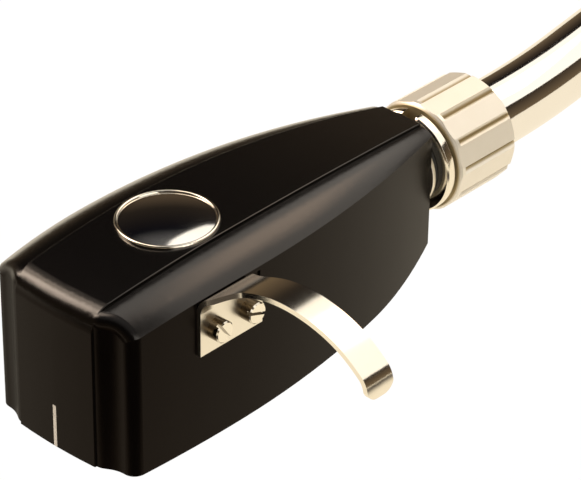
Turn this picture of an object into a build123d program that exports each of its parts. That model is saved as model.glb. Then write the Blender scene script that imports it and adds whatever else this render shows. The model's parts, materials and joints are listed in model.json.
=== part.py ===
import os
from math import asin, cos, degrees, sin, sqrt, radians
from build123d import *

# Drawn in millimetres from the front face (y = 0) and the underside (z = 0), then moved at the
# end so that the origin is the middle of the arm tube's free end.
shell_length = 57.0
plug_height = 11.2           # plug axis above the underside
panel_step = 0.35            # how far the raised panel stands above the shoulders
front_radius = 2.8           # rounding from the front face into the top
front_bow = 0.25             # how far the front panel bulges forward in its middle
set_in = 0.25                # shoulder's setback behind the panel
corner_back = 1.6            # setback of the shoulder's outer corner
corner_radius = 1.5          # rounding of the shoulder's front corner
tail_rise = 2.4              # how far the underside climbs at the rear
wall = 1.5
roof = 15.6                  # ceiling of the cavity
running = 0.05               # radial clearance of turning fits
snug = 0.03                  # radial clearance of pieces that sit in a seat
over = 1.0                   # how far cutting tools run past a face

# the boat form swells to its belly: values at the front face, at the belly and at the rear face
belly_y = 0.316 * shell_length
crown_y = 0.38 * shell_length        # the crown peaks behind the belly
side_half = (10.4, 11.3, 4.92)
panel_half = (5.9, 6.3, 3.0)
crown = (19.75, 21.35, 18.25)
side_edge = (17.5, 18.95, 17.35)
lip_radius = 0.12            # rounding along the edge of the raised panel

badge_y = belly_y - 0.35
badge_radius = 5.9
badge_sink = 0.9             # depth of the badge's pocket under the crown
badge_dome = 0.5             # how far the badge's disc bulges
bezel_width = 0.45
bezel_proud = 0.3
index_half = 0.24
index_depth = 0.2
index_height = 5.5

lift_y = belly_y - 2.3       # middle of the lift's flange along the shell
strip_y = lift_y - 0.85      # middle of the lift's strip
lift_seat = side_half[1] - 0.25  # flat spot on the side that carries the flange
lift_low = 11.9
lift_bend = lift_low + 5.5   # height at which the flange starts to bend outwards
lift_thick = 0.6
flange_half = 4.85
neck_half = 2.6              # rear half of the bend, where the flange has been drawn in
strip_half = 2.1
tip_half = 2.0
screw_height = lift_low + 2.8
screw_pitch = 5.1
screw_shank = 0.8
head_radius = 1.3
head_height = 1.5
slot_turns = (35.0, 70.0)    # degrees the two slots stand at
lift_grip = 2.0              # screw length inside the shell's side

plug_radius = 4.0
plug_bore = 3.3
plug_front = shell_length - 6.0
plug_rear = shell_length + 11.0
plug_flange = 5.3
flange_thick = 0.5
washer_radius = 4.9
pin_y = shell_length + 4.7   # bayonet pin
pin_radius = 0.9
pin_top = 5.45
contact_ring = 1.9           # radius of the circle the four contacts lie on
contact_radius = 0.5
contact_front = plug_front - 2.2

ring_front = shell_length + 1.4
ring_rear = ring_front + 1.4
ring_radius = 6.5
sleeve_radius = 4.8
sleeve_rear = plug_rear + 1.6
collar_front = ring_rear + 0.25
collar_rear = sleeve_rear + 1.0
collar_radius = 7.05
flute_count = 12
flute_width = 0.75
flute_turn = 11.0            # degrees the flutes stand round from the upright
tube_radius = 4.5
tube_bore = 3.5
spigot_radius = 4.0          # turned-down front of the tube that enters the socket
tube_front = plug_rear + 0.6
bend_radius = 120.0
bend_angle = 8.0             # degrees the tube turns towards -X
tube_tail = 12.0
core_front = tube_front + 0.4
core_rear = core_front + 3.0
bend_start = core_rear + 1.5

plate_thick = 1.0
plate_rear = shell_length - 14.5
rim = 0.8                    # ledge that carries the base plate
window_half = 4.0
window_front = 3.8
window_rear = 15.6
boss_radius = 1.7
post_x = 6.4

pivot_y = 14.2               # point the stylus arm swings about
pivot_z = 2.8
pole_pin_radius = 1.0
front_pole_y = pivot_y + 0.5
front_pole_thick = 1.4
pole_half = 3.6
pole_low = plate_thick + 0.2
magnet_front = front_pole_y + front_pole_thick
magnet_rear = magnet_front + 7.9
magnet_half = 5.0
magnet_low = 6.2
magnet_high = 13.0
yoke_thick = 1.6
cradle_thick = 1.2
cradle_x = 3.6
cradle_y = magnet_rear + yoke_thick + head_radius + 1.9
post_y = (cradle_y + plate_rear) / 2
wire_radius = 0.1
armature_half = 1.2
armature_thick = 0.8
coil_half = 1.4
arm_front = pivot_y - 1.75
arm_slope = 25.0             # degrees the cantilever falls towards the tip
arm_length = 7.2
arm_radius = 0.32
tip_length = 1.45
card_thick = 0.6
tag_thick = 0.3
tag_x = 2.2
tag_low = 6.3
tag_pitch = 2.4
lead_radius = 0.17
lead_bend = 0.9


def at(x, y, z):
    return Location((x, y, z))


def rod(radius, y_from, y_to, x=0.0, z=plug_height):
    bar = Cylinder(radius, y_to - y_from, align=(Align.CENTER, Align.CENTER, Align.MIN))
    return at(x, y_from, z) * Rot(-90, 0, 0) * bar


def post(radius, z_from, z_to, x=0.0, y=0.0):
    return at(x, y, z_from) * Cylinder(radius, z_to - z_from, align=(Align.CENTER, Align.CENTER, Align.MIN))


def across(radius, x_from, x_to, y, z):
    bar = Cylinder(radius, x_to - x_from, align=(Align.CENTER, Align.CENTER, Align.MIN))
    return at(x_from, y, z) * Rot(0, 90, 0) * bar


def block(x_from, x_to, y_from, y_to, z_from, z_to):
    size = (x_to - x_from, y_to - y_from, z_to - z_from)
    return at((x_from + x_to) / 2, (y_from + y_to) / 2, (z_from + z_to) / 2) * Box(*size)


def both_sides(half):
    wire = Wire(half.edges())
    return make_face(wire.edges() + mirror(wire, about=Plane.YZ).edges())


def lift_up(face, height):
    return extrude(face, height, dir=(0, 0, 1))


def swell(values, y, peak_y=belly_y):
    front, peak, rear = values
    end, value = (0.0, front) if y < peak_y else (shell_length, rear)
    return peak - (peak - value) * ((y - peak_y) / (end - peak_y)) ** 2


def swell_curve(values, y_from, y_to, peak_y=belly_y):
    peak = values[1]
    start = (swell(values, y_from, peak_y), y_from)
    end = (swell(values, y_to, peak_y), y_to)
    fore = Bezier(start, (peak, (y_from + peak_y) / 2), (peak, peak_y))
    aft = Bezier((peak, peak_y), (peak, (peak_y + y_to) / 2), end)
    return [fore, aft]


def crown_height(y):
    return swell(crown, y, crown_y)


def shoulder_section(y):
    panel = swell(panel_half, y)
    top = crown_height(y) - panel_step
    run = swell(side_half, y) - panel
    fall = top - swell(side_edge, y)
    bend = (run * run + fall * fall) / (2 * fall)      # arc that leaves the panel level
    past = asin(run / bend) + radians(12)
    low = -2 * over
    mid = (panel + bend * sin(past / 2), top - bend * (1 - cos(past / 2)))
    out = (panel + bend * sin(past), top - bend * (1 - cos(past)))
    half = Curve() + [Line((0, top), (panel, top)), ThreePointArc((panel, top), mid, out)]
    half += [Line(out, (out[0], low)), Line((out[0], low), (0, low))]
    return at(0, y, 0) * (Plane.XZ * both_sides(half))


def make_body():
    front = front_bow + set_in
    inner = panel_half[0] - 0.1
    outer = swell(side_half, corner_back)
    cove = [(inner, front), (inner + 1.6, front + 0.62)]
    cove += [(outer - 2.3, corner_back - 0.14), (outer, corner_back)]
    half = Curve() + [Line((0, front), (inner, front)), Spline(cove, tangents=((1, 0), (1, 0.05)))]
    half += swell_curve(side_half, corner_back, shell_length)
    half += [Line((side_half[2], shell_length), (0, shell_length))]
    span = shell_length + 2 * over
    dome = loft([shoulder_section(span * step / 8 - over) for step in range(9)])
    body = lift_up(both_sides(half), 2 * roof) & dome
    near = body.edges().filter_by(lambda e: e.center().Y < corner_back + 1 and e.length > 0.2)
    brows = near.filter_by(lambda e: e.center().Z > roof)
    corners = near.filter_by(lambda e: abs(e.center().X) > inner + 2 and 1 < e.center().Z < roof)
    return fillet(brows + corners, corner_radius)


def make_panel():
    edge = swell(panel_half, front_bow)
    half = Curve() + [ThreePointArc((0, 0), (edge / 2, front_bow / 4), (edge, front_bow))]
    half += swell_curve(panel_half, front_bow, shell_length)
    half += [Line((panel_half[2], shell_length), (0, shell_length))]
    near = -over
    far = shell_length + over
    swap_axes = Plane((0, 0, 0), z_dir=(1, -1, 0))
    top = [mirror(line, about=swap_axes) for line in swell_curve(crown, near, far, crown_y)]
    ends = [Line((near, near), (near, crown_height(near))), Line((far, crown_height(far)), (far, near))]
    side = extrude(Plane.YZ * make_face(top + ends + [Line((far, near), (near, near))]), 2 * roof, both=True)
    panel = lift_up(both_sides(half), 2 * roof) & side
    brow = panel.edges().filter_by(lambda e: e.center().Y < front_bow and e.center().Z > roof)
    panel = fillet(brow, front_radius)
    lips = panel.edges().filter_by(lambda e: all(abs(v.X) > 1 for v in e.vertices()))
    return fillet(lips.filter_by(lambda e: e.center().Z > 1 and e.center().Y < shell_length - 1), lip_radius)


def mouth(inset):
    front = wall + 0.9 + inset
    corner = side_half[0] - 1.2 - inset
    rear = (swell(side_half, plate_rear) - rim - inset, plate_rear - inset)
    half = Curve() + [Line((0, front), (corner, front))]
    half += [ThreePointArc((corner, front), (corner + 0.55, front + 0.25), (corner + 0.8, front + 0.8))]
    half += [Spline((corner + 0.8, front + 0.8), (side_half[1] - rim - inset, belly_y), rear)]
    half += [Line(rear, (0, plate_rear - inset))]
    return both_sides(half)


badge_slope = degrees(2 * (crown[1] - crown[0]) * (crown_y - badge_y) / crown_y ** 2)
badge_place = at(0, badge_y, crown_height(badge_y)) * Rot(badge_slope, 0, 0)


def make_shell():
    body = make_body() + make_panel()
    start = plate_rear + 0.5
    low = -2 * over
    far = shell_length + over
    climb = ThreePointArc((far, tail_rise + 0.4), ((start + far) / 2 + 1, tail_rise * 0.36), (start, 0))
    rise = make_face([Line((start, low), (far, low)), Line((far, low), (far, tail_rise + 0.4)), climb,
                      Line((start, 0), (start, low))])
    body -= extrude(Plane.YZ * rise, 2 * side_half[1], both=True)
    body -= lift_up(mouth(0), plate_thick)
    body -= lift_up(mouth(rim), roof)
    body -= block(-5.0, 5.0, plate_rear - 2, plug_front - 2.4, tail_rise + wall, roof)
    boss_low = magnet_high + cradle_thick
    for side in (-1, 1):
        body += post(boss_radius, plate_thick, roof + 0.5, side * post_x, post_y)
        body -= post(screw_shank, plate_thick - 0.1, plate_thick + 5, side * post_x, post_y)
        body += post(boss_radius, boss_low, roof + 0.5, side * cradle_x, cradle_y)
        body -= post(screw_shank, boss_low - 0.1, boss_low + 2.4, side * cradle_x, cradle_y)
    body -= rod(plug_radius, plug_front, shell_length + over)
    body -= rod(plug_bore - 0.2, plug_front - 4, plug_front + over)
    body -= badge_place * post(badge_radius, -badge_sink, roof)
    body -= block(-index_half, index_half, -over, index_depth, -over, index_height)
    edge = flange_half + snug
    seat_top = lift_bend + 1.05
    body -= block(lift_seat, side_half[1] + over, lift_y - edge, lift_y + edge, lift_low - snug, seat_top)
    for side in (-1, 1):
        y = lift_y + side * screw_pitch / 2
        body -= across(screw_shank, lift_seat - lift_grip - 0.6, lift_seat + over, y, screw_height)
    return body


def make_bezel():
    outer = badge_radius - snug
    inner = outer - bezel_width
    brow = bezel_proud - bezel_width / 2
    round_off = ThreePointArc((outer, brow), ((inner + outer) / 2, bezel_proud), (inner, brow))
    low = -badge_sink
    sides = [Line((outer, low), (outer, brow)), Line((inner, brow), (inner, low))]
    ring = make_face(sides + [round_off, Line((inner, low), (outer, low))])
    return badge_place * revolve(Plane.XZ * ring, Axis.Z)


def make_disc():
    r = badge_radius - bezel_width - 2 * snug
    ball = r * r / (2 * badge_dome) + badge_dome / 2
    top = bezel_proud
    return badge_place * (post(r, -badge_sink, top + over) & (at(0, 0, top - ball) * Sphere(ball)))


def taper(root, far, side, start, shift):
    edge = side * flange_half
    wide = (root, side * start)
    slim = (root + 4.6, shift + side * strip_half)
    between = (root + 1.7, (wide[1] + slim[1]) / 2 + side * 0.1 * (start - strip_half))
    curve = Spline(wide, between, slim, tangents=((1, 0), (1, 0)))
    lines = [Line((root - 2, edge), (root, edge)), curve, Line(slim, (far, shift + side * tip_half))]
    if start < flange_half:
        lines.append(Line((root, edge), wide))
    return lines


def make_lift():
    inner = lift_seat + lift_thick / 2
    neck = (inner + 1.7, lift_bend + 2.05)
    shank = Line((inner, lift_low), (inner, lift_bend))
    bend = ThreePointArc((inner, lift_bend), (inner + 0.55, lift_bend + 1.3), neck)
    reach = inner + 21.2
    fall = (reach, lift_bend + 0.8)
    arch = Spline(neck, (inner + 9.1, lift_bend + 4.7), (inner + 16.7, lift_bend + 3.6), fall,
                  tangents=((1, 0.6), (1, -0.85)))
    hook = Spline(fall, (reach + 0.75, lift_bend - 0.4), (reach + 0.9, lift_bend - 1.85),
                  tangents=((1, -0.85), (0, -1)))
    strip = extrude(Plane.XZ * trace(Wire([shank, bend, arch, hook]), lift_thick), 2 * flange_half, both=True)
    root = inner + 0.5
    far = reach + 3
    shift = strip_y - lift_y
    mask = make_face(taper(root, far, -1, flange_half, shift) + taper(root, far, 1, neck_half, shift)
                     + [Line((root - 2, -flange_half), (root - 2, flange_half)),
                        Line((far, shift - tip_half), (far, shift + tip_half))])
    lift = at(0, lift_y, 0) * (strip & lift_up(mask, 2 * roof))
    shoulder = (flange_half, lift_bend - 1.5)
    throat = (neck_half, lift_bend + 1.2)
    outside = flange_half + over
    bite = [Spline(shoulder, throat, tangents=((0, 1), (-0.3, 1))), Line(throat, (neck_half, 2 * roof)),
            Line((neck_half, 2 * roof), (outside, 2 * roof)),
            Line((outside, 2 * roof), (outside, shoulder[1])), Line((outside, shoulder[1]), shoulder)]
    lift -= at(inner - over, lift_y, 0) * extrude(Plane.YZ * make_face(bite), over + root - inner)
    for side in (-1, 1):
        y = lift_y + side * screw_pitch / 2
        lift -= across(screw_shank + 0.1, lift_seat - 1, lift_seat + 2, y, screw_height)
    tip_low = lift_bend - 1.85
    end = fillet(Rectangle(2 * tip_half + 0.2, 6).vertices().group_by(Axis.Y)[0], tip_half - 0.4)
    end = at(reach, strip_y, tip_low + 3) * extrude(Plane.YZ * end, 10, both=True)
    corners = block(reach - 1, far, strip_y - 4, strip_y + 4, tip_low - 1, tip_low + 3)
    return lift - (corners - end)


def cheese_head(length, height, turn):
    base = (Align.CENTER, Align.CENTER, Align.MIN)
    screw = Cylinder(head_radius, height, align=base)
    screw = chamfer(screw.edges().group_by(Axis.Z)[-1], 0.15)
    screw -= at(0, 0, height) * Rot(0, 0, turn) * Box(3 * head_radius, 0.36, 0.7 * height)
    return screw + at(0, 0, -length) * Cylinder(screw_shank - snug, length + 0.2, align=base)


def make_lift_screws():
    x = lift_seat + lift_thick
    screws = []
    for side, turn in zip((-1, 1), slot_turns):
        place = at(x, lift_y + side * screw_pitch / 2, screw_height) * Rot(0, 90, 0)
        screws.append(place * cheese_head(lift_thick + lift_grip, head_height, turn))
    return Compound(screws)


def ring_of_four(radius, y_from, y_to):
    reach = contact_ring * sqrt(0.5)
    places = [(sx * reach, plug_height + sz * reach) for sx in (-1, 1) for sz in (-1, 1)]
    return [rod(radius, y_from, y_to, x, z) for x, z in places]


def make_plug():
    sleeve = rod(plug_radius - snug, plug_front + 0.5, plug_rear)
    sleeve += rod(plug_flange, shell_length, shell_length + flange_thick)
    sleeve -= rod(plug_bore, plug_front, plug_rear + over)
    return sleeve - post(pin_radius + snug, plug_height, plug_height + 2 * pin_top, y=pin_y)


def make_plug_insulator():
    core = rod(plug_bore - snug, plug_front + 2, plug_rear - 0.8)
    core -= post(pin_radius + 0.2, plug_height + 2.7, plug_height + 6, y=pin_y)
    return core - ring_of_four(contact_radius + snug, plug_front, plug_rear)


def make_washer():
    rear = ring_front - running
    return rod(washer_radius, shell_length + flange_thick, rear) - rod(plug_radius, shell_length, rear + over)


def make_socket():
    socket = rod(ring_radius, ring_front, ring_rear)
    socket = chamfer(socket.edges().filter_by(GeomType.CIRCLE), 0.2)
    socket += rod(sleeve_radius, ring_front, sleeve_rear)
    socket -= rod(plug_radius + running, ring_front - over, tube_front)
    socket -= rod(spigot_radius + snug, tube_front - 0.1, sleeve_rear + over)
    slot = pin_radius + 0.1
    slot_top = plug_height + 2 * pin_top
    return socket - block(-slot, slot, ring_front - over, pin_y + 1.2, plug_height + 3, slot_top)


def make_collar():
    flat = collar_radius - 0.12
    turned = 180 / flute_count - flute_turn
    facets = RegularPolygon(flat, flute_count, major_radius=False, rotation=turned)
    collar = at(0, collar_rear, plug_height) * Rot(90, 0, 0) * extrude(facets, collar_rear - collar_front)
    barrel = rod(collar_radius, collar_front, collar_rear)
    collar = collar & chamfer(barrel.edges().filter_by(GeomType.CIRCLE), 0.4)
    start = collar_front + 0.9
    for step in range(flute_count):
        bar = Box(flute_width, 3 * collar_radius, flute_width)
        groove = at(0, start, collar_radius) * Rot(0, 45, 0) * bar
        groove = groove & block(-2, 2, start, collar_rear + over, 0, 2 * collar_radius)
        collar -= at(0, 0, plug_height) * Rot(0, (step + 0.5) * 360 / flute_count + flute_turn, 0) * groove
    collar -= rod(sleeve_radius + running, collar_front - over, sleeve_rear + 0.25)
    collar -= rod(spigot_radius + running, collar_front, collar_rear + over)
    collar -= rod(pin_top + 0.3, pin_y - 1.1, pin_y + 1.1)
    entry = block(-1.2, 1.2, collar_front - over, pin_y, 3, pin_top + 0.3)
    return collar - at(0, 0, plug_height) * Rot(0, 60, 0) * entry


def arm_path(y_start):
    def on_bend(angle):
        return (-bend_radius * (1 - cos(angle)), bend_start + bend_radius * sin(angle), plug_height)

    turn = radians(bend_angle)
    middle = on_bend(turn / 2)
    bend_end = on_bend(turn)
    end = (bend_end[0] - tube_tail * sin(turn), bend_end[1] + tube_tail * cos(turn), plug_height)
    straight = Line((0, y_start, plug_height), (0, bend_start, plug_height))
    bend = ThreePointArc((0, bend_start, plug_height), middle, bend_end)
    return Wire([straight, bend, Line(bend_end, end)]), end


def make_tube():
    shoulder = collar_rear + 0.1
    path, end = arm_path(shoulder)
    section = Plane((0, shoulder, plug_height), z_dir=(0, 1, 0)) * (Circle(tube_radius) - Circle(tube_bore))
    spigot = rod(spigot_radius, tube_front, shoulder + 0.2)
    spigot -= rod(tube_bore, tube_front - over, shoulder + over)
    return sweep(section, path) + spigot


def make_arm_leads():
    path, end = arm_path(core_rear + over)
    reach = contact_ring * sqrt(0.5)
    start = Plane((0, core_rear + over, plug_height), x_dir=(1, 0, 0), z_dir=(0, 1, 0))
    places = [Pos(sx * reach, sz * reach) for sx in (-1, 1) for sz in (-1, 1)]
    return Compound([sweep(start * place * Circle(0.4), path).solid() for place in places])


def make_plate():
    plate = lift_up(mouth(snug), plate_thick)
    window = fillet(Rectangle(2 * window_half, window_rear - window_front).vertices(), 1.2)
    plate -= at(0, (window_front + window_rear) / 2, -over) * extrude(window, plate_thick + 2 * over)
    for side in (-1, 1):
        plate -= at(side * post_x, post_y, 0.4) * Cone(1.5 + snug, screw_shank + snug, 0.8)
        plate -= post(screw_shank + snug, -over, plate_thick + over, side * post_x, post_y)
    return plate


def make_plate_screw(side):
    shank = screw_shank - snug
    screw = at(side * post_x, post_y, 0.4) * Cone(1.5, shank, 0.8)
    screw += post(shank, 0, plate_thick + 4.5, side * post_x, post_y)
    return screw - at(side * post_x, post_y, 0) * Rot(0, 0, side * 30) * Box(4, 0.4, 0.8)


def make_cradle():
    top = magnet_high + cradle_thick
    cradle = block(-magnet_half, magnet_half, front_pole_y, cradle_y + 2.2, magnet_high, top)
    for side in (-1, 1):
        cradle -= post(screw_shank + 0.1, magnet_high - 1, magnet_high + 3, side * cradle_x, cradle_y)
    return cradle


def make_cradle_screw(side):
    screw = cheese_head(cradle_thick + 2.2, 1.0, side * 40)
    return at(side * cradle_x, cradle_y, magnet_high) * Rot(180, 0, 0) * screw


def make_front_pole():
    pole = block(-pole_half, pole_half, front_pole_y, magnet_front, pole_low, magnet_high)
    return pole - rod(pole_pin_radius + 0.35, front_pole_y - over, magnet_front + over, z=pivot_z)


def make_rear_yoke():
    yoke = block(-magnet_half, magnet_half, magnet_rear, magnet_rear + yoke_thick, pole_low, magnet_high)
    return yoke - rod(pole_pin_radius, magnet_rear - over, magnet_rear + 3, z=pivot_z)


def make_pole_pin():
    pin = rod(pole_pin_radius, pivot_y + 0.15, magnet_rear + yoke_thick, z=pivot_z)
    return pin - rod(wire_radius + snug, pivot_y - over, pivot_y + 4.8, z=pivot_z)


def make_damper():
    disc = rod(0.85, pivot_y - 0.45, pivot_y + 0.1, z=pivot_z)
    return disc - rod(wire_radius + running, pivot_y - over, pivot_y + over, z=pivot_z)


def make_armature():
    rear = pivot_y - 0.8
    low = pivot_z - armature_half
    return block(-armature_half, armature_half, rear - armature_thick, rear, low, low + 2 * armature_half)


def make_coils():
    core = make_armature()
    rear = pivot_y - 0.6
    upright = block(-0.5, 0.5, arm_front, rear, pivot_z - coil_half, pivot_z + coil_half) - core
    level = block(-coil_half, coil_half, arm_front, rear, pivot_z - 0.5, pivot_z + 0.5) - core
    level -= block(-0.55, 0.55, arm_front - over, rear + over, pivot_z - 2, pivot_z + 2)
    return Compound(upright.solids() + level.solids())


def make_cantilever():
    bar = Cylinder(arm_radius, arm_length, align=(Align.CENTER, Align.CENTER, Align.MIN))
    bar = at(0, arm_front, pivot_z) * Rot(90 + arm_slope, 0, 0) * bar
    return bar & block(-2, 2, 0, arm_front, -arm_length, arm_length)


def make_stylus():
    out = arm_length - 0.4
    y = arm_front - out * cos(radians(arm_slope))
    z = pivot_z - out * sin(radians(arm_slope)) - 0.1
    point = [(0.19, 0), (0.19, -0.5 - tip_length / 3), (0.03, -tip_length)]
    tip = make_face(Polyline((0, 0), *point, (0, -tip_length), close=True))
    return at(0, y, z) * revolve(Plane.XZ * tip, Axis.Z) - make_cantilever()


def make_card():
    half = pole_half - 0.2
    top = tag_low + tag_pitch + 1.3
    return block(-half, half, front_pole_y - card_thick, front_pole_y, tag_low - 1.3, top)


def tag(side, row):
    level = tag_low + tag_pitch * row
    rear = front_pole_y - card_thick
    return block(side * tag_x - 0.5, side * tag_x + 0.5, rear - tag_thick, rear, level - 0.5, level + 0.5)


def lead(side, row):
    level = tag_low + tag_pitch * row
    reach = contact_ring * sqrt(0.5)
    drop = plug_height + (2 * row - 1) * reach
    beside = magnet_half + 0.8
    front = front_pole_y - card_thick - lead_radius - snug
    bends = [(side * (tag_x + 0.5), front, level), (side * beside, front, level)]
    bends += [(side * beside, magnet_rear + yoke_thick + 1, level)]
    bends += [(side * reach, contact_front - 3, drop), (side * reach, contact_front, drop)]
    path = FilletPolyline(*bends, radius=lead_bend)
    return sweep(Plane(path @ 0, z_dir=path % 0) * Circle(lead_radius), path)


pairs = [(side, row) for side in (-1, 1) for row in (0, 1)]
contact_rear = plug_rear - 0.3
socket_core = rod(tube_bore - snug, core_front, core_rear)
nodes = {
    "shell": make_shell(),
    "badge_bezel": make_bezel(),
    "badge_disc": make_disc(),
    "index_fill": block(-index_half, index_half, 0, index_depth, 0, index_height),
    "finger_lift": make_lift(),
    "finger_lift_screws": make_lift_screws(),
    "plug_sleeve": make_plug(),
    "locating_pin": post(pin_radius, plug_height + 2.8, plug_height + pin_top, y=pin_y),
    "plug_insulator": make_plug_insulator(),
    "contact_pins": Compound(ring_of_four(contact_radius, contact_front, contact_rear)),
    "shoulder_washer": make_washer(),
    "base_plate": make_plate(),
    "base_screws": Compound([make_plate_screw(side) for side in (-1, 1)]),
    "cradle": make_cradle(),
    "cradle_screws": Compound([make_cradle_screw(side) for side in (-1, 1)]),
    "magnet": block(-magnet_half, magnet_half, magnet_front, magnet_rear, magnet_low, magnet_high),
    "front_pole": make_front_pole(),
    "rear_yoke": make_rear_yoke(),
    "pole_pin": make_pole_pin(),
    "suspension_wire": rod(wire_radius, pivot_y - 0.75, pivot_y + 3.8, z=pivot_z),
    "damper": make_damper(),
    "armature": make_armature(),
    "coils": make_coils(),
    "cantilever": make_cantilever(),
    "stylus": make_stylus(),
    "terminal_card": make_card(),
    "terminal_tags": Compound([tag(side, row) for side, row in pairs]),
    "lead_wires": Compound([lead(side, row) for side, row in pairs]),
    "arm_socket": make_socket(),
    "socket_insulator": socket_core - ring_of_four(0.45 + snug, tube_front, core_rear + over),
    "socket_contacts": Compound(ring_of_four(0.45, contact_rear, core_rear + over)),
    "locking_collar": make_collar(),
    "arm_tube": make_tube(),
    "arm_leads": make_arm_leads(),
}

free_end = arm_path(collar_rear)[1]
os.makedirs("parts", exist_ok=True)
for name, shape in nodes.items():
    export_step(at(-free_end[0], -free_end[1], -free_end[2]) * shape, f"parts/{name}.step")
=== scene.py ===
import bmesh
import bpy
import json
from math import pi, radians
from mathutils import Matrix, Vector


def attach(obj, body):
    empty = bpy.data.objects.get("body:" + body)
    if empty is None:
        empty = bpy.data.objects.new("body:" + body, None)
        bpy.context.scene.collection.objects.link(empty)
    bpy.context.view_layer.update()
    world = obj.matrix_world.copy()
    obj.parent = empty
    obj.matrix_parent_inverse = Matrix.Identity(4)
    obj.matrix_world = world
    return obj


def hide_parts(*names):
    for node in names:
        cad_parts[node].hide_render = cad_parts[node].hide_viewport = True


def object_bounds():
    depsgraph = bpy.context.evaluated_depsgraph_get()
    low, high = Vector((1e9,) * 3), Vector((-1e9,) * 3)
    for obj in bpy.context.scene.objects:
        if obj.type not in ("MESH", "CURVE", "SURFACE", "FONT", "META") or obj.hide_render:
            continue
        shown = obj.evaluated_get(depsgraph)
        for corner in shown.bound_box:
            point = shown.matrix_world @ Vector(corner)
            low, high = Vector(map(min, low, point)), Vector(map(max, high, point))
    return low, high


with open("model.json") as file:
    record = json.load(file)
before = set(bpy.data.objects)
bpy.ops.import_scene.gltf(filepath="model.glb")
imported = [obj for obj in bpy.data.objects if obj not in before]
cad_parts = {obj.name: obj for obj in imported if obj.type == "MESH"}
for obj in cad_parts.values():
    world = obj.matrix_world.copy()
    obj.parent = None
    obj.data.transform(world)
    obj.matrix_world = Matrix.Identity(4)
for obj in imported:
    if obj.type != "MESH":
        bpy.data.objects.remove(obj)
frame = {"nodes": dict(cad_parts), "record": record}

cadBox = [list(corner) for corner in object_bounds()]
nodes = frame["nodes"]
mm = 0.001


# shader helpers

def newGroup(name, inputs, outputs):
    group = bpy.data.node_groups.new(name, "ShaderNodeTree")
    for socketName, kind, value in inputs:
        socket = group.interface.new_socket(socketName, in_out="INPUT", socket_type=kind)
        if value is not None:
            socket.default_value = value
    for socketName, kind in outputs:
        group.interface.new_socket(socketName, in_out="OUTPUT", socket_type=kind)
    source = group.nodes.new("NodeGroupInput")
    sink = group.nodes.new("NodeGroupOutput")
    return group, source, sink


def addNode(tree, kind, **settings):
    node = tree.nodes.new(kind)
    for key, value in settings.items():
        if hasattr(node, key):
            setattr(node, key, value)
        else:
            node.inputs[key.replace("_", " ")].default_value = value
    return node


def mathNode(tree, operation, first, second=None, clamp=False):
    node = tree.nodes.new("ShaderNodeMath")
    node.operation = operation
    node.use_clamp = clamp
    for slot, value in enumerate((first, second)):
        if value is None:
            continue
        if isinstance(value, (int, float)):
            node.inputs[slot].default_value = value
        else:
            tree.links.new(value, node.inputs[slot])
    return node.outputs[0]


# a soft step from least to 1 between two values; the first may be the larger
def softStep(tree, value, low, high, least=0.0):
    step = addNode(tree, "ShaderNodeMapRange", interpolation_type="SMOOTHSTEP")
    step.inputs["From Min"].default_value = low
    step.inputs["From Max"].default_value = high
    step.inputs["To Min"].default_value = least
    tree.links.new(value, step.inputs["Value"])
    return step.outputs["Result"]


# grain of a moulded or plated skin: slow patches in the roughness, fine height for a bump
def buildGrain():
    group, source, sink = newGroup(
        "skinGrain",
        [("Vector", "NodeSocketVector", None), ("Grain", "NodeSocketFloat", 5000.0),
         ("Patch", "NodeSocketFloat", 140.0), ("Rough", "NodeSocketFloat", 0.35),
         ("Spread", "NodeSocketFloat", 0.1)],
        [("Roughness", "NodeSocketFloat"), ("Height", "NodeSocketFloat"), ("Mottle", "NodeSocketFloat")])
    fine = addNode(group, "ShaderNodeTexNoise", Detail=3.0, Roughness=0.55)
    slow = addNode(group, "ShaderNodeTexNoise", Detail=4.0, Roughness=0.6)
    for noise, scale in ((fine, "Grain"), (slow, "Patch")):
        group.links.new(source.outputs["Vector"], noise.inputs["Vector"])
        group.links.new(source.outputs[scale], noise.inputs["Scale"])
    drift = mathNode(group, "SUBTRACT", slow.outputs["Fac"], 0.5)
    drift = mathNode(group, "MULTIPLY", drift, source.outputs["Spread"])
    rough = mathNode(group, "ADD", drift, source.outputs["Rough"], clamp=True)
    group.links.new(rough, sink.inputs["Roughness"])
    group.links.new(fine.outputs["Fac"], sink.inputs["Height"])
    group.links.new(slow.outputs["Fac"], sink.inputs["Mottle"])
    return group


# long fine lines left by polishing or drawing, stretched by the mapping that feeds them
def buildLines():
    group, source, sink = newGroup(
        "drawnLines",
        [("Vector", "NodeSocketVector", None), ("Scale", "NodeSocketFloat", 1.0)],
        [("Height", "NodeSocketFloat")])
    noise = addNode(group, "ShaderNodeTexNoise", Detail=5.0, Roughness=0.7)
    group.links.new(source.outputs["Vector"], noise.inputs["Vector"])
    group.links.new(source.outputs["Scale"], noise.inputs["Scale"])
    group.links.new(noise.outputs["Fac"], sink.inputs["Height"])
    return group


# rubbed edges: where a rounded normal leaves the true one
def buildEdges():
    group, source, sink = newGroup(
        "rubbedEdges",
        [("Radius", "NodeSocketFloat", 0.0003), ("Gain", "NodeSocketFloat", 3.0)],
        [("Mask", "NodeSocketFloat")])
    rounded = addNode(group, "ShaderNodeBevel", samples=4)
    group.links.new(source.outputs["Radius"], rounded.inputs["Radius"])
    true = group.nodes.new("ShaderNodeNewGeometry")
    dot = addNode(group, "ShaderNodeVectorMath", operation="DOT_PRODUCT")
    group.links.new(rounded.outputs["Normal"], dot.inputs[0])
    group.links.new(true.outputs["Normal"], dot.inputs[1])
    away = mathNode(group, "SUBTRACT", 1.0, dot.outputs["Value"])
    mask = mathNode(group, "MULTIPLY", away, source.outputs["Gain"], clamp=True)
    group.links.new(mask, sink.inputs["Mask"])
    return group


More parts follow.
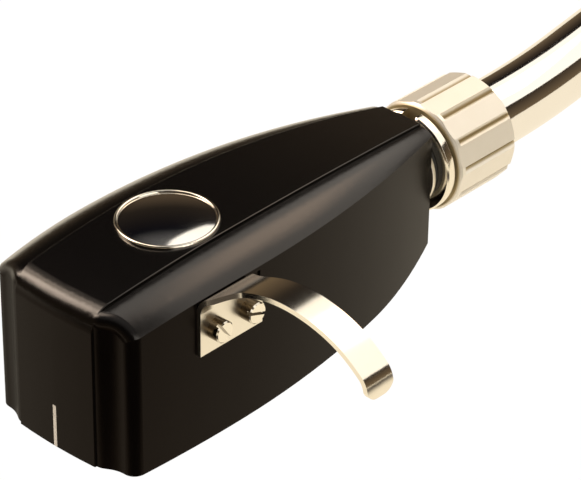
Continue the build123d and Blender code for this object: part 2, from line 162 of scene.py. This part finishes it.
# specks of dust that settle on faces that look up
def buildDust():
    group, source, sink = newGroup(
        "settledDust",
        [("Vector", "NodeSocketVector", None), ("Scale", "NodeSocketFloat", 900.0),
         ("Size", "NodeSocketFloat", 0.08)],
        [("Mask", "NodeSocketFloat")])
    cells = addNode(group, "ShaderNodeTexVoronoi")
    group.links.new(source.outputs["Vector"], cells.inputs["Vector"])
    group.links.new(source.outputs["Scale"], cells.inputs["Scale"])
    pick = addNode(group, "ShaderNodeSeparateColor")
    group.links.new(cells.outputs["Color"], pick.inputs[0])
    size = mathNode(group, "MULTIPLY", pick.outputs[0], source.outputs["Size"])
    few = mathNode(group, "GREATER_THAN", pick.outputs[1], 0.93)
    speck = mathNode(group, "LESS_THAN", cells.outputs["Distance"], size)
    speck = mathNode(group, "MULTIPLY", speck, few)
    lie = group.nodes.new("ShaderNodeNewGeometry")
    axes = addNode(group, "ShaderNodeSeparateXYZ")
    group.links.new(lie.outputs["Normal"], axes.inputs[0])
    up = mathNode(group, "GREATER_THAN", axes.outputs[2], 0.6)
    group.links.new(mathNode(group, "MULTIPLY", speck, up), sink.inputs["Mask"])
    return group


# the top and the shoulders are polished by handling, the upright sides keep their matt skin
def buildPolish():
    group, source, sink = newGroup("handledTop", [], [("Mask", "NodeSocketFloat")])
    lie = group.nodes.new("ShaderNodeNewGeometry")
    axes = addNode(group, "ShaderNodeSeparateXYZ")
    group.links.new(lie.outputs["Normal"], axes.inputs[0])
    group.links.new(softStep(group, axes.outputs[2], 0.1, 0.7), sink.inputs["Mask"])
    return group


skinGrain = buildGrain()
drawnLines = buildLines()
rubbedEdges = buildEdges()
settledDust = buildDust()
handledTop = buildPolish()


def startMaterial(name, **settings):
    material = bpy.data.materials.new(name)
    material.use_nodes = True
    tree = material.node_tree
    shader = tree.nodes["Principled BSDF"]
    for key, value in settings.items():
        shader.inputs[key.replace("_", " ")].default_value = value
    coords = tree.nodes.new("ShaderNodeTexCoord")
    return material, tree, shader, coords.outputs["Object"]


def placeGroup(tree, group, vector=None, **values):
    node = tree.nodes.new("ShaderNodeGroup")
    node.node_tree = group
    if vector is not None:
        tree.links.new(vector, node.inputs["Vector"])
    for key, value in values.items():
        node.inputs[key].default_value = value
    return node


def addBump(tree, shader, height, distance):
    bump = addNode(tree, "ShaderNodeBump", Strength=1.0, Distance=distance)
    tree.links.new(height, bump.inputs["Height"])
    tree.links.new(bump.outputs["Normal"], shader.inputs["Normal"])


def blendColours(tree, factor, first, second):
    mix = addNode(tree, "ShaderNodeMix", data_type="RGBA")
    mix.inputs[6].default_value = (*first, 1.0)
    mix.inputs[7].default_value = (*second, 1.0)
    tree.links.new(factor, mix.inputs[0])
    return mix.outputs[2]


def stretched(tree, vector, scale):
    mapping = addNode(tree, "ShaderNodeMapping")
    mapping.inputs["Scale"].default_value = scale
    tree.links.new(vector, mapping.inputs["Vector"])
    return mapping.outputs["Vector"]


def satinMoulding(name, look):
    material, tree, shader, place = startMaterial(name, Specular_IOR_Level=look["specular"],
                                                  Specular_Tint=(*look["sheen"], 1.0),
                                                  Coat_Roughness=look["coatRough"])
    grain = placeGroup(tree, skinGrain, place, Grain=look["grain"], Patch=look["patch"],
                       Rough=look["rough"], Spread=look["spread"])
    polish = placeGroup(tree, handledTop)
    tree.links.new(polish.outputs["Mask"], shader.inputs["Coat Weight"])
    edges = placeGroup(tree, rubbedEdges, Radius=look["edge"], Gain=look["wear"])
    dust = placeGroup(tree, settledDust, place, Scale=look["dustScale"], Size=look["dustSize"])
    worn = mathNode(tree, "MULTIPLY", edges.outputs["Mask"], grain.outputs["Mottle"])
    colour = blendColours(tree, worn, look["colour"], look["wornColour"])
    dusty = addNode(tree, "ShaderNodeMix", data_type="RGBA")
    dusty.inputs[7].default_value = (*look["dustColour"], 1.0)
    tree.links.new(colour, dusty.inputs[6])
    tree.links.new(dust.outputs["Mask"], dusty.inputs[0])
    tree.links.new(dusty.outputs[2], shader.inputs["Base Color"])
    tree.links.new(grain.outputs["Roughness"], shader.inputs["Roughness"])
    addBump(tree, shader, grain.outputs["Height"], look["bump"])
    return material


def brightPlating(name, look):
    material, tree, shader, place = startMaterial(name, Metallic=1.0)
    grain = placeGroup(tree, skinGrain, place, Grain=look["grain"], Patch=look["patch"],
                       Rough=look["rough"], Spread=look["spread"])
    lines = placeGroup(tree, drawnLines, stretched(tree, place, look["stretch"]))
    colour = blendColours(tree, grain.outputs["Mottle"], look["colour"], look["tint"])
    tree.links.new(colour, shader.inputs["Base Color"])
    tree.links.new(grain.outputs["Roughness"], shader.inputs["Roughness"])
    addBump(tree, shader, lines.outputs["Height"], look["bump"])
    return material


def plainFinish(name, look):
    material, tree, shader, place = startMaterial(name, Metallic=look.get("metallic", 0.0))
    grain = placeGroup(tree, skinGrain, place, Grain=look["grain"], Patch=look["patch"],
                       Rough=look["rough"], Spread=look["spread"])
    colour = blendColours(tree, grain.outputs["Mottle"], look["colour"], look["tint"])
    tree.links.new(colour, shader.inputs["Base Color"])
    tree.links.new(grain.outputs["Roughness"], shader.inputs["Roughness"])
    addBump(tree, shader, grain.outputs["Height"], look["bump"])
    return material


blackLook = {"colour": (0.0014, 0.0012, 0.0012), "wornColour": (0.03, 0.026, 0.022), "specular": 0.075,
             "sheen": (1.0, 0.6, 0.36),
             "grain": 7000.0, "patch": 90.0, "rough": 0.26, "spread": 0.06, "coatRough": 0.2,
             "bump": 0.004 * mm, "edge": 0.25 * mm, "wear": 1.5,
             "dustScale": 700.0, "dustSize": 0.05, "dustColour": (0.1, 0.1, 0.1)}
nickelLook = {"colour": (0.95, 0.90, 0.79), "tint": (0.91, 0.85, 0.73), "grain": 3000.0, "patch": 300.0,
              "rough": 0.14, "spread": 0.12, "stretch": (60, 9000, 9000), "bump": 0.0015 * mm}
satinLook = {"colour": (0.97, 0.93, 0.83), "tint": (0.94, 0.89, 0.78), "grain": 3000.0, "patch": 300.0,
             "rough": 0.42, "spread": 0.16, "stretch": (7000, 90, 7000), "bump": 0.006 * mm}
chromeLook = {"colour": (0.92, 0.90, 0.86), "tint": (0.88, 0.85, 0.80), "grain": 3000.0, "patch": 200.0,
              "rough": 0.07, "spread": 0.06, "stretch": (6000, 80, 6000), "bump": 0.0005 * mm}

finishes = {
    "black_moulding": satinMoulding("satinBlackMoulding", blackLook),
    "nickel": brightPlating("warmNickel", nickelLook),
    "mirror_chrome": brightPlating("polishedChrome", chromeLook),
    "white_paint": plainFinish("whiteFill", {
        "colour": (0.92, 0.90, 0.84), "tint": (0.84, 0.81, 0.74), "grain": 9000.0, "patch": 1500.0,
        "rough": 0.6, "spread": 0.2, "bump": 0.02 * mm}),
    "steel": plainFinish("machinedSteel", {
        "metallic": 1.0, "colour": (0.52, 0.52, 0.53), "tint": (0.42, 0.42, 0.43), "grain": 6000.0,
        "patch": 500.0, "rough": 0.32, "spread": 0.15, "bump": 0.002 * mm}),
    "magnet": plainFinish("sinteredGrey", {
        "metallic": 0.6, "colour": (0.16, 0.16, 0.17), "tint": (0.10, 0.10, 0.11), "grain": 8000.0,
        "patch": 900.0, "rough": 0.6, "spread": 0.2, "bump": 0.02 * mm}),
    "insulator": plainFinish("tanMoulding", {
        "colour": (0.40, 0.27, 0.14), "tint": (0.30, 0.19, 0.09), "grain": 7000.0, "patch": 700.0,
        "rough": 0.5, "spread": 0.15, "bump": 0.01 * mm}),
    "gold_brass": plainFinish("goldPlating", {
        "metallic": 1.0, "colour": (0.83, 0.60, 0.24), "tint": (0.74, 0.50, 0.18), "grain": 5000.0,
        "patch": 900.0, "rough": 0.22, "spread": 0.12, "bump": 0.001 * mm}),
    "black_rubber": plainFinish("softRubber", {
        "colour": (0.016, 0.016, 0.016), "tint": (0.03, 0.03, 0.03), "grain": 9000.0, "patch": 900.0,
        "rough": 0.65, "spread": 0.2, "bump": 0.01 * mm}),
    "aluminium": plainFinish("plainAluminium", {
        "metallic": 1.0, "colour": (0.74, 0.74, 0.75), "tint": (0.64, 0.64, 0.66), "grain": 6000.0,
        "patch": 600.0, "rough": 0.35, "spread": 0.15, "bump": 0.003 * mm}),
    "copper": plainFinish("enamelledCopper", {
        "metallic": 0.9, "colour": (0.70, 0.30, 0.13), "tint": (0.55, 0.20, 0.08), "grain": 12000.0,
        "patch": 2500.0, "rough": 0.35, "spread": 0.15, "bump": 0.01 * mm}),
    "diamond": plainFinish("polishedTip", {
        "colour": (0.72, 0.76, 0.80), "tint": (0.62, 0.66, 0.70), "grain": 9000.0, "patch": 3000.0,
        "rough": 0.08, "spread": 0.05, "bump": 0.0005 * mm}),
    "wire_cover": plainFinish("wireCovering", {
        "colour": (0.42, 0.06, 0.05), "tint": (0.30, 0.04, 0.035), "grain": 6000.0, "patch": 900.0,
        "rough": 0.5, "spread": 0.15, "bump": 0.005 * mm}),
}
satinNickel = brightPlating("satinNickel", satinLook)


# the plating keeps its colour where the mask is 1, and takes another where it is 0
def colourBelow(tree, shader, mask, other, plain):
    plated = shader.inputs["Base Color"].links[0].from_socket
    colour = blendColours(tree, mask, other, plain)
    tree.links.new(plated, colour.node.inputs[7])
    tree.links.new(colour, shader.inputs["Base Color"])


def platedStart(name, look):
    material = brightPlating(name, look)
    tree = material.node_tree
    return material, tree, tree.nodes["Principled BSDF"]


# the lift's flange is brushed, its strip polished, with the change along X at the bend
def liftPlating(look):
    material, tree, shader = platedStart("liftNickel", look)
    coords = tree.nodes.new("ShaderNodeTexCoord")
    axes = addNode(tree, "ShaderNodeSeparateXYZ")
    tree.links.new(coords.outputs["Object"], axes.inputs[0])
    along = addNode(tree, "ShaderNodeMapRange", interpolation_type="SMOOTHSTEP")
    for socket, value in zip(("From Min", "From Max", "To Min", "To Max"), look["brushed"]):
        along.inputs[socket].default_value = value
    tree.links.new(axes.outputs[0], along.inputs["Value"])
    tree.links.new(along.outputs["Result"], shader.inputs["Roughness"])
    return material


# the lift's screws keep the plating colour on the faces of their heads, and round the sides a dark brown is
# painted as painted shade
def screwPlating(look):
    material, tree, shader = platedStart("screwNickel", look)
    lie = tree.nodes.new("ShaderNodeNewGeometry")
    axes = addNode(tree, "ShaderNodeSeparateXYZ")
    tree.links.new(lie.outputs["Normal"], axes.inputs[0])
    # painted shade: where the normal turns away from +X, off the head's face, the colour goes dark brown
    face = softStep(tree, axes.outputs[0], *look["face"])
    colourBelow(tree, shader, face, look["side"], look["colour"])
    return material


# the collar is satin on its lands, with painted shade, a dull brown colour, in the flutes
def collarPlating(look):
    material, tree, shader = platedStart("collarNickel", look)
    shader.inputs["Metallic"].default_value = look["metallic"]
    coords = tree.nodes.new("ShaderNodeTexCoord")
    fromAxis = addNode(tree, "ShaderNodeVectorMath", operation="SUBTRACT")
    fromAxis.inputs[1].default_value = look["axis"]
    tree.links.new(coords.outputs["Object"], fromAxis.inputs[0])
    flat = addNode(tree, "ShaderNodeVectorMath", operation="MULTIPLY")
    flat.inputs[1].default_value = (1, 0, 1)
    tree.links.new(fromAxis.outputs["Vector"], flat.inputs[0])
    radius = addNode(tree, "ShaderNodeVectorMath", operation="LENGTH")
    tree.links.new(flat.outputs["Vector"], radius.inputs[0])
    # painted shade: inside the lands' radius, down in the flutes, the colour goes dull brown
    land = softStep(tree, radius.outputs["Value"], *look["flute"])
    colourBelow(tree, shader, land, look["paintedFluteShade"], look["colour"])
    return material


liftNickel = liftPlating({**nickelLook, "brushed": (14.6 * mm, 16.4 * mm, 0.3, 0.14)})
screwNickel = screwPlating({**nickelLook, "face": (0.45, 0.85), "side": (0.13, 0.10, 0.065)})
collarNickel = collarPlating({**satinLook, "axis": (2.838 * mm, 0, 0), "flute": (6.62 * mm, 6.9 * mm),
                              "paintedFluteShade": (0.46, 0.37, 0.21), "metallic": 0.55})
special = {"finger_lift": liftNickel, "finger_lift_screws": screwNickel, "locking_collar": collarNickel,
           "plug_sleeve": satinNickel}
print("finishes", len(finishes) + len(special))


slotOf = {part["node"]: part["material_slot"] for part in frame["record"]["subparts"]}


def paint(piece, node):
    piece.data.materials.clear()
    piece.data.materials.append(special.get(node) or finishes[slotOf[node]])


for name in slotOf:
    paint(nodes[name], name)
print("nodes painted", len(nodes))


# copies of the solids' meshes, merged before any work on them
weld = 0.0005 * mm


def mergedCopy(node):
    bm = bmesh.new()
    bm.from_mesh(nodes[node].data)
    bmesh.ops.remove_doubles(bm, verts=bm.verts, dist=weld)
    return bm


def finishCopy(name, bm, sharpAngle):
    mesh = bpy.data.meshes.new(name)
    bm.to_mesh(mesh)
    bm.free()
    if "custom_normal" in mesh.attributes:
        mesh.attributes.remove(mesh.attributes["custom_normal"])
    mesh.shade_smooth()
    mesh.set_sharp_from_angle(angle=sharpAngle)
    piece = bpy.data.objects.new(name, mesh)
    bpy.context.scene.collection.objects.link(piece)
    return piece


# a machined or moulded piece with its sharp edges broken
softEdges = {
    "couplingRing": {"node": "arm_socket", "width": 0.06 * mm, "body": "head"},
    "plugSleeve": {"node": "plug_sleeve", "width": 0.06 * mm, "body": "head"},
    "basePlate": {"node": "base_plate", "width": 0.08 * mm, "body": "head"},
}


def softenedCopy(name, setup, sharpAngle=radians(28), flatAngle=radians(0.4)):
    bm = mergedCopy(setup["node"])
    bmesh.ops.dissolve_limit(bm, angle_limit=flatAngle, verts=bm.verts, edges=bm.edges)
    sharp = [edge for edge in bm.edges if edge.is_manifold and edge.calc_face_angle() > sharpAngle]
    bmesh.ops.bevel(bm, geom=sharp, offset=setup["width"], segments=2, profile=0.5, affect="EDGES",
                    clamp_overlap=True, material=-1)
    bmesh.ops.remove_doubles(bm, verts=bm.verts, dist=weld)
    piece = finishCopy(name, bm, radians(40))
    paint(piece, setup["node"])
    even = piece.modifiers.new("evenNormals", "WEIGHTED_NORMAL")
    even.keep_sharp = True
    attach(piece, setup["body"])
    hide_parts(setup["node"])
    print(name, len(piece.data.polygons), "faces")


for name, setup in softEdges.items():
    softenedCopy(name, setup)


# the four leads in the arm's cut end, each in its own colour
leadSetup = {"node": "arm_leads",
             "colours": {"whiteLead": (0.80, 0.78, 0.72), "redLead": (0.42, 0.03, 0.025),
                         "blueLead": (0.03, 0.09, 0.32), "greenLead": (0.03, 0.20, 0.07)}}


def colouredLeads():
    bm = mergedCopy(leadSetup["node"])
    strands = []
    left = set(bm.faces)
    while left:
        strand = [left.pop()]
        for face in strand:
            near = {other for edge in face.edges for other in edge.link_faces} & left
            left -= near
            strand.extend(near)
        strands.append(strand)

    def furthest(axis):
        return lambda strand: max(face.calc_center_median()[axis] for face in strand)

    # lower pair first, and each pair from left to right
    strands.sort(key=furthest(2))
    for pair in (slice(0, 2), slice(2, 4)):
        strands[pair] = sorted(strands[pair], key=furthest(0))
    for index, strand in enumerate(strands):
        for face in strand:
            face.material_index = index
    piece = finishCopy("armLeads", bm, radians(40))
    for name, colour in leadSetup["colours"].items():
        piece.data.materials.append(plainFinish(name, {
            "colour": colour, "tint": tuple(0.75 * part for part in colour), "grain": 6000.0, "patch": 900.0,
            "rough": 0.5, "spread": 0.15, "bump": 0.005 * mm}))
    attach(piece, "head")
    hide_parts(leadSetup["node"])
    print("armLeads", len(strands), "leads")


colouredLeads()


# the badge's polished disc, seated a little higher so that it fills its bezel
discSetup = {"node": "badge_disc", "rise": 0.3 * mm}


def raisedDisc():
    bm = mergedCopy(discSetup["node"])
    bm.normal_update()
    floorFace = min(bm.faces, key=lambda face: face.normal.z)
    bmesh.ops.translate(bm, verts=bm.verts, vec=-floorFace.normal * discSetup["rise"])
    piece = finishCopy("badgeDisc", bm, radians(30))
    paint(piece, discSetup["node"])
    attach(piece, "head")
    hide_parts(discSetup["node"])
    print("badgeDisc", len(piece.data.polygons), "faces")


raisedDisc()


# floor, light and camera
stageSetup = {
    "drop": 30 * mm, "half": 1.6, "paper": (0.86, 0.85, 0.83), "rough": 0.9,
    "white": (1.0, 1.0, 1.0), "warm": (1.0, 0.89, 0.70), "paintedShadeTone": (0.03, 0.022, 0.016),
    "glow": 1.03, "cover": 0.94,
    # bands of painted shade on the floor's glow, seen only in reflections: how bright each stays, and its
    # edges, given as a direction with the distances at which the floor is dim and lit
    "glossShadeBands": (
        {"least": 0.0, "edges": (((0.73, -0.68, 0), 118 * mm, 88 * mm),
                                 ((0.73, -0.68, 0), 165 * mm, 225 * mm))},
        {"least": 0.35, "edges": (((-1, 0, 0), 32 * mm, 18 * mm), ((-1, 0, 0), 85 * mm, 115 * mm),
                                  ((0, 1, 0), -105 * mm, -125 * mm), ((0, 1, 0), -25 * mm, -5 * mm))})}


def makeFloor():
    mesh = bpy.data.meshes.new("floor")
    bm = bmesh.new()
    bmesh.ops.create_grid(bm, x_segments=1, y_segments=1, size=stageSetup["half"])
    low = cadBox[0][2] - stageSetup["drop"]
    bmesh.ops.translate(bm, verts=bm.verts, vec=(0, 0, low))
    bm.to_mesh(mesh)
    bm.free()
    floor = bpy.data.objects.new("floor", mesh)
    bpy.context.scene.collection.objects.link(floor)
    material = bpy.data.materials.new("paleFloor")
    material.use_nodes = True
    tree = material.node_tree
    shader = tree.nodes["Principled BSDF"]
    shader.inputs["Base Color"].default_value = (*stageSetup["paper"], 1.0)
    shader.inputs["Roughness"].default_value = stageSetup["rough"]
    glow = addNode(tree, "ShaderNodeEmission", Strength=stageSetup["glow"])
    path = tree.nodes.new("ShaderNodeLightPath")
    coords = tree.nodes.new("ShaderNodeTexCoord")
    bright = 1.0
    for band in stageSetup["glossShadeBands"]:
        lit = 0.0
        for slant, dimAt, litAt in band["edges"]:
            away = addNode(tree, "ShaderNodeVectorMath", operation="DOT_PRODUCT")
            away.inputs[1].default_value = slant
            tree.links.new(coords.outputs["Object"], away.inputs[0])
            across = softStep(tree, away.outputs["Value"], dimAt, litAt, band["least"])
            lit = mathNode(tree, "MAXIMUM", across, lit)
        bright = mathNode(tree, "MULTIPLY", lit, bright)
    # painted shade and painted reflection: gloss sees the floor's glow tinted warm and dimmed in the bands,
    # while the camera sees it white
    sweep = blendColours(tree, bright, stageSetup["paintedShadeTone"], stageSetup["warm"])
    tone = blendColours(tree, path.outputs["Is Glossy Ray"], stageSetup["white"], stageSetup["warm"])
    tree.links.new(sweep, tone.node.inputs[7])
    tree.links.new(tone, glow.inputs["Color"])
    seen = mathNode(tree, "MAXIMUM", path.outputs["Is Camera Ray"], path.outputs["Is Glossy Ray"])
    seen = mathNode(tree, "MAXIMUM", seen, path.outputs["Is Transmission Ray"])
    seen = mathNode(tree, "MULTIPLY", seen, stageSetup["cover"])  # the rest of the paper keeps the shadow
    mix = tree.nodes.new("ShaderNodeMixShader")
    tree.links.new(seen, mix.inputs[0])
    tree.links.new(shader.outputs[0], mix.inputs[1])
    tree.links.new(glow.outputs[0], mix.inputs[2])
    # seen from below the floor is clear, so that the underside shows
    lie = tree.nodes.new("ShaderNodeNewGeometry")
    clear = tree.nodes.new("ShaderNodeBsdfTransparent")
    oneSided = tree.nodes.new("ShaderNodeMixShader")
    tree.links.new(lie.outputs["Backfacing"], oneSided.inputs[0])
    tree.links.new(mix.outputs[0], oneSided.inputs[1])
    tree.links.new(clear.outputs[0], oneSided.inputs[2])
    tree.links.new(oneSided.outputs[0], tree.nodes["Material Output"].inputs["Surface"])
    mesh.materials.append(material)


# the room's tone by height, from straight down to straight up
roomTones = ((0.0, (0.15, 0.105, 0.06)), (0.32, (0.07, 0.049, 0.031)), (0.46, (0.02, 0.015, 0.011)),
             (0.7, (0.003, 0.003, 0.005)), (1.0, (0.3, 0.29, 0.28)))


def makeWorld():
    world = bpy.data.worlds.new("studio")
    bpy.context.scene.world = world
    world.use_nodes = True
    tree = world.node_tree
    room = tree.nodes["Background"]
    coords = tree.nodes.new("ShaderNodeTexCoord")
    axes = tree.nodes.new("ShaderNodeSeparateXYZ")
    tree.links.new(coords.outputs["Generated"], axes.inputs[0])
    ramp = tree.nodes.new("ShaderNodeValToRGB")
    steps = ramp.color_ramp.elements
    steps[0].position, steps[1].position = roomTones[0][0], roomTones[-1][0]
    for height, tone in roomTones[1:-1]:
        steps.new(height)
    for step, (height, tone) in zip(steps, roomTones):
        step.color = (*tone, 1.0)
    tree.links.new(axes.outputs[2], ramp.inputs[0])
    tree.links.new(ramp.outputs[0], room.inputs["Color"])
    white = addNode(tree, "ShaderNodeBackground", Strength=1.0)
    white.inputs["Color"].default_value = (1, 1, 1, 1)
    path = tree.nodes.new("ShaderNodeLightPath")
    mix = tree.nodes.new("ShaderNodeMixShader")
    tree.links.new(path.outputs["Is Camera Ray"], mix.inputs[0])
    tree.links.new(room.outputs[0], mix.inputs[1])
    tree.links.new(white.outputs[0], mix.inputs[2])
    tree.links.new(mix.outputs[0], tree.nodes["World Output"].inputs["Surface"])


aim = Vector((5.89, -67.62, 1.13)) * mm
keyColour = (1.0, 0.84, 0.69)
backColour = (1.0, 0.72, 0.50)
lamps = {
    "overheadBox": {"toward": (0.14, 0.686, 0.50), "facing": (0, 0, 1), "spin": 13.3, "size": (1.0, 1.0),
                    "radiance": 1.25, "colour": (1.0, 0.94, 0.85)},
    "backGlow": {"toward": (0.0, 0.40, 0.49), "facing": (0.1, 0.4, 0.5), "size": (0.34, 0.34),
                 "radiance": 0.95, "colour": backColour},
    "backCore": {"toward": (-0.01, 0.40, 0.48), "facing": (0.1, 0.4, 0.5), "size": (0.20, 0.20),
                 "radiance": 0.95, "colour": backColour},
    "fillBox": {"toward": (0.78, -0.12, 0.42), "size": (0.8, 0.8), "radiance": 1.5,
                "colour": (1.0, 0.95, 0.88)},
    "keyGlow": {"toward": (-0.50, -0.18, 0.60), "size": (0.34, 0.95), "radiance": 3.0, "colour": keyColour},
    "keyMid": {"toward": (-0.55, -0.39, 0.58), "size": (0.30, 0.48), "radiance": 3.6, "colour": keyColour},
    "keyCore": {"toward": (-0.54, -0.38, 0.57), "size": (0.26, 0.26), "radiance": 3.6, "colour": keyColour},
    "keyTop": {"toward": (-0.46, 0.04, 0.64), "size": (0.34, 0.30), "radiance": 0.55, "colour": keyColour},
}


def makeLamps():
    for name, setup in lamps.items():
        light = bpy.data.lights.new(name, "AREA")
        light.shape = "RECTANGLE"
        light.size, light.size_y = setup["size"]
        light.energy = setup["radiance"] * pi * light.size * light.size_y
        light.color = setup["colour"]
        lamp = bpy.data.objects.new(name, light)
        lamp.location = aim + Vector(setup["toward"])
        turn = Matrix.Rotation(radians(setup.get("spin", 0)), 4, "Z")
        facing = Vector(setup.get("facing", setup["toward"])).to_track_quat("Z", "Y").to_matrix().to_4x4()
        lamp.rotation_euler = (facing @ turn).to_euler()
        bpy.context.scene.collection.objects.link(lamp)


cameraSetup = {"place": (199.32, -281.14, 182.91), "lens": 185.071, "roll": -0.824}


def makeCamera():
    data = bpy.data.cameras.new("camera")
    data.sensor_width = 36.0
    data.lens = cameraSetup["lens"]
    camera = bpy.data.objects.new("camera", data)
    camera.location = Vector(cameraSetup["place"]) * mm
    look = (aim - camera.location).to_track_quat("-Z", "Y").to_matrix().to_4x4()
    turned = look @ Matrix.Rotation(radians(-cameraSetup["roll"]), 4, "Z")
    camera.rotation_euler = turned.to_euler()
    bpy.context.scene.collection.objects.link(camera)
    bpy.context.scene.camera = camera


makeFloor()
makeWorld()
makeLamps()
makeCamera()
bpy.context.scene.view_settings.view_transform = "Standard"
print("stage ready")
